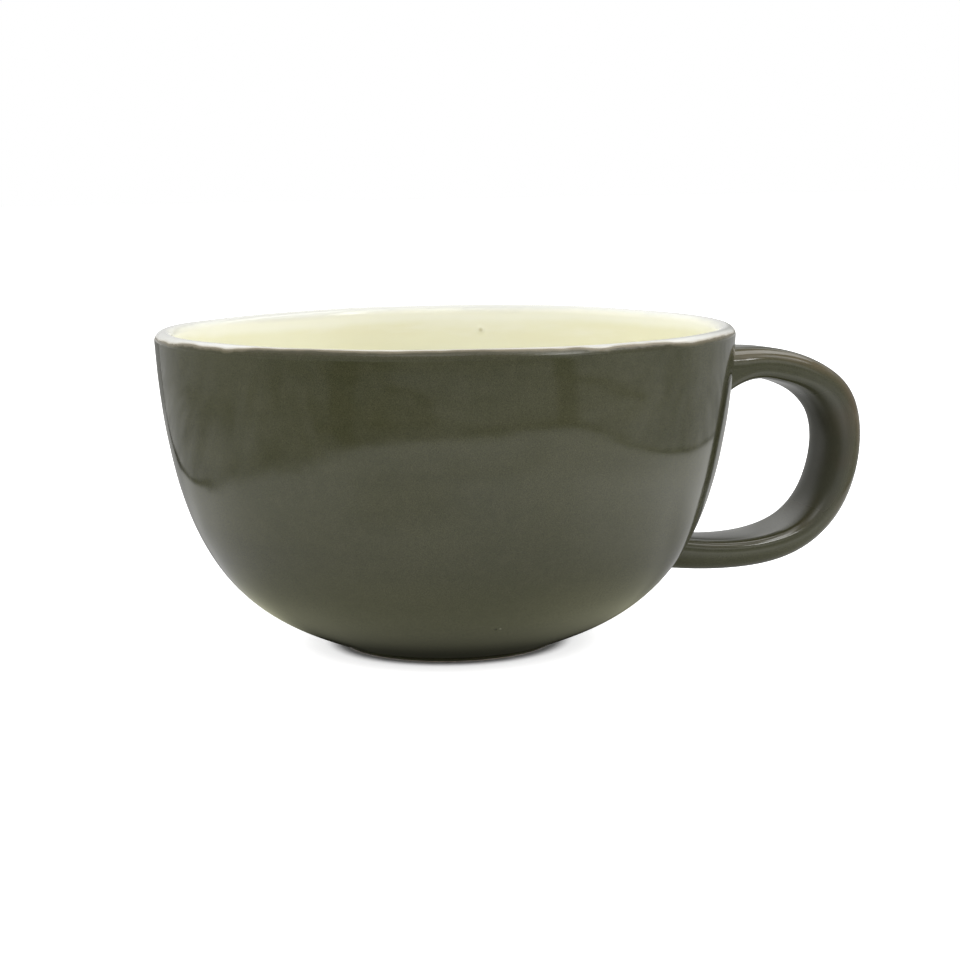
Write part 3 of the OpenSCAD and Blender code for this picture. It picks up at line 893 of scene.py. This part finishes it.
shade = m.math("MULTIPLY", m.range(m.math("ABSOLUTE", m.math("DIVIDE", m.math("SUBTRACT", edge_at, 3.0), m.attribute("reach"))), 0.0, 1.0, 1.0, 0.0), m.attribute("edge_shadow"))
grain = m.math("MULTIPLY", m.math("SUBTRACT", m.noise(34, 4, 0.65, long_way), 0.5), 0.95)
cloth = m.math("ADD", m.attribute("past"), grain)
a_, b_ = m.math("MULTIPLY", cloth, side_of), m.math("MULTIPLY", m.attribute("sheet"), m.math("SUBTRACT", 1.0, side_of))
glow = m.math("SUBTRACT", m.math("ADD", a_, b_), shade)
m.link(m.math("MAXIMUM", glow, 0.02), em.inputs["Strength"])
m.link(em.outputs[0], out.inputs["Surface"])
table.data.materials.append(m.mat)
table.visible_camera = table.visible_diffuse = table.visible_shadow = False
table.visible_transmission = table.visible_volume_scatter = False


def area(name, where, size, energy, at=(0, 0, 0.04)):
    data = bpy.data.lights.new(name, "AREA")
    data.shape = "RECTANGLE"
    data.size, data.size_y = size
    data.energy = energy
    ob = bpy.data.objects.new(name, data)
    ob.location = where
    ob.rotation_mode = "QUATERNION"
    ob.rotation_quaternion = (Vector(where) - Vector(at)).to_track_quat("Z", "Y")
    bpy.context.scene.collection.objects.link(ob)
    return ob


area("top_softbox", (*placed(0, 140), 1.05), (0.75, 0.35), 3.4)
area("front_softbox", (*placed(-150, -600), 1.05), (0.6, 0.4), 1.1)
bpy.data.objects["top_softbox"].visible_glossy = False

# a lit window up on the right, brightest in its nearer half, which only the gloss sees
wx, wy = np.meshgrid(np.linspace(120, 1500, 70), np.linspace(-1150, 1150, 115), indexing="ij")


def near_line(points, inner, outer):
    """1 within a distance of a line through points on the ceiling, in millimetres, and 0 past a second one."""
    d = np.full(wx.shape, 1e9)
    for (ax, ay), (bx, by) in zip(points[:-1], points[1:]):
        t = np.clip(((wx - ax) * (bx - ax) + (wy - ay) * (by - ay)) / ((bx - ax) ** 2 + (by - ay) ** 2), 0, 1)
        d = np.minimum(d, np.hypot(wx - ax - t * (bx - ax), wy - ay - t * (by - ay)))
    return 1 - smooth(d, inner, outer)


lit = 0.38 + (3.2 - 1.5 * smooth(wy, 300, 800)) * near_line([(500, 190), (940, 860)], 170, 260)
lit = np.maximum(lit, 0.38 + 6.4 * near_line([(640, -455), (760, -540)], 60, 175))
lit = np.maximum(lit, 0.38 + 3.4 * near_line([(740, -530), (1160, -930)], 70, 170))
lit = np.maximum(lit, 0.38 + 2.2 * near_line([(380, -230), (600, -440)], 50, 170))
lit = np.maximum(lit, 0.38 + 2.4 * near_line([(1010, -260), (1260, 30)], 70, 230))
lit = np.maximum(lit, 0.38 + 0.8 * near_line([(800, -220), (1340, -330)], 120, 300))
lit = np.maximum(lit, 0.38 + 11.0 * near_line([(1180, -890), (1010, -1010)], 90, 220))
lit = np.maximum(lit, 0.38 + 1.5 * near_line([(170, -70), (250, 40)], 50, 150))
me = bpy.data.meshes.new("window_in_reflections")
verts = [(*placed(x, y), 1.0) for x, y in zip(wx.ravel(), wy.ravel())]
nx, ny = wx.shape
faces = [(i * ny + j, i * ny + j + 1, (i + 1) * ny + j + 1, (i + 1) * ny + j) for i in range(nx - 1) for j in range(ny - 1)]
me.from_pydata(verts, [], faces)
me.attributes.new("lit", "FLOAT", "POINT").data.foreach_set("value", lit.astype(np.float32).ravel())
window = bpy.data.objects.new("window_in_reflections", me)
bpy.context.scene.collection.objects.link(window)
m = Nodes("window_in_reflections")
m.nt.nodes.remove(m.bsdf)
out = next(n for n in m.nt.nodes if n.type == "OUTPUT_MATERIAL")
em = m.nt.nodes.new("ShaderNodeEmission")
m.link(m.math("MULTIPLY", m.attribute("lit"), m.range(m.noise(3.0, 1), 0.3, 0.7, 0.9, 1.1)), em.inputs["Strength"])
m.link(em.outputs[0], out.inputs["Surface"])
window.data.materials.append(m.mat)
window.visible_camera = window.visible_diffuse = window.visible_shadow = False
window.visible_transmission = window.visible_volume_scatter = False

world = bpy.data.worlds.new("studio")
world.use_nodes = True
wt = world.node_tree
bg = next(n for n in wt.nodes if n.type == "BACKGROUND")
bg.inputs["Color"].default_value = (1, 1, 1, 1)
direction = wt.nodes.new("ShaderNodeTexCoord").outputs["Generated"]


def sky(op, a, b):
    n = wt.nodes.new("ShaderNodeVectorMath" if op == "DOT_PRODUCT" else "ShaderNodeMath")
    n.operation = op
    for i, v in enumerate((a, b)):
        if isinstance(v, bpy.types.NodeSocket):
            wt.links.new(v, n.inputs[i])
        else:
            n.inputs[i].default_value = v
    return n.outputs["Value"]


def ramp(value, a, b, c, d):
    n = wt.nodes.new("ShaderNodeMapRange")
    n.interpolation_type = "SMOOTHSTEP"
    wt.links.new(value, n.inputs["Value"])
    for k, v in zip(("From Min", "From Max", "To Min", "To Max"), (a, b, c, d)):
        n.inputs[k].default_value = v
    return n.outputs[0]


# the room is brighter to the left and right than in front, and the backdrop is white where the camera sees it
across = sky("ABSOLUTE", sky("DOT_PRODUCT", direction, (*(v * 1000 for v in placed(1, 0)), 0)), 0.0)
depth = sky("DOT_PRODUCT", direction, (*(v * 1000 for v in placed(0, 1)), 0))
height = sky("DOT_PRODUCT", direction, (0, 0, 1))
rightward = sky("DOT_PRODUCT", direction, (*(v * 1000 for v in placed(1, 0)), 0))
room = sky("ADD", ramp(across, 0.25, 0.95, 0.88, 1.50), ramp(depth, -0.1, 0.5, 0.0, -0.45))
room = sky("ADD", room, ramp(depth, -0.95, -0.4, -0.22, 0.0))
low_sides = sky("ADD", ramp(rightward, 0.40, 0.90, 0.0, 0.75), ramp(rightward, -0.90, -0.40, 0.40, 0.0))
room = sky("ADD", room, sky("MULTIPLY", low_sides, ramp(height, 0.15, 0.45, 1.0, 0.0)))
# the gloss sees dark walls, and a lighter wall high up at the back
mirrored = sky("ADD", sky("MULTIPLY", ramp(depth, 0.15, 0.6, 0.0, 0.65), ramp(height, 0.3, 0.6, 0.0, 1.0)), 0.38)
mirrored = sky("ADD", mirrored, sky("MULTIPLY", ramp(depth, 0.5, 0.85, 0.0, 1.0), ramp(rightward, 0.09, 0.20, 0.25, -0.23)))
mirrored = sky("ADD", mirrored, sky("MULTIPLY", ramp(depth, 0.5, 0.85, 0.0, 1.0), ramp(rightward, 0.21, 0.31, 0.0, 0.28)))
# and a low window on the right in front
low_window = sky("MULTIPLY", ramp(height, 0.12, 0.24, 0.0, 0.75), ramp(height, 0.34, 0.48, 1.0, 0.0))
low_window = sky("MULTIPLY", low_window, sky("MULTIPLY", ramp(rightward, 0.60, 0.74, 0.0, 1.0), ramp(depth, -0.50, -0.32, 1.0, 0.0)))
mirrored = sky("ADD", mirrored, low_window)
path = wt.nodes.new("ShaderNodeLightPath")
room = sky("ADD", room, sky("MULTIPLY", path.outputs["Is Glossy Ray"], sky("SUBTRACT", mirrored, room)))
wt.links.new(sky("MAXIMUM", path.outputs["Is Camera Ray"], room), bg.inputs["Strength"])
bpy.context.scene.world = world
bpy.context.scene.view_settings.view_transform = "Standard"
bpy.context.scene.view_settings.look = "None"

# ---------------------------------------------------------------- camera
pitch, yaw, roll = (math.radians(v) for v in (8.403, 0.879, 0.626))
fwd = Vector((math.sin(yaw) * math.cos(pitch), math.cos(yaw) * math.cos(pitch), -math.sin(pitch)))
right = Vector((math.cos(yaw), -math.sin(yaw), 0))
up = right.cross(fwd)
right_c = right * math.cos(roll) - up * math.sin(roll)
up_c = right * math.sin(roll) + up * math.cos(roll)
basis = Matrix((right_c, up_c, -fwd)).transposed()
turn = Matrix.Rotation(-TURN, 3, "Z")
data = bpy.data.cameras.new("camera")
data.sensor_width = 36
data.lens = 80.42
data.clip_start, data.clip_end = 0.01, 50
cam = bpy.data.objects.new("camera", data)
cam.location = turn @ Vector((0, -0.520, 0.11636))
cam.rotation_mode = "QUATERNION"
cam.rotation_quaternion = (turn @ basis).to_quaternion()
bpy.context.scene.collection.objects.link(cam)
bpy.context.scene.camera = cam
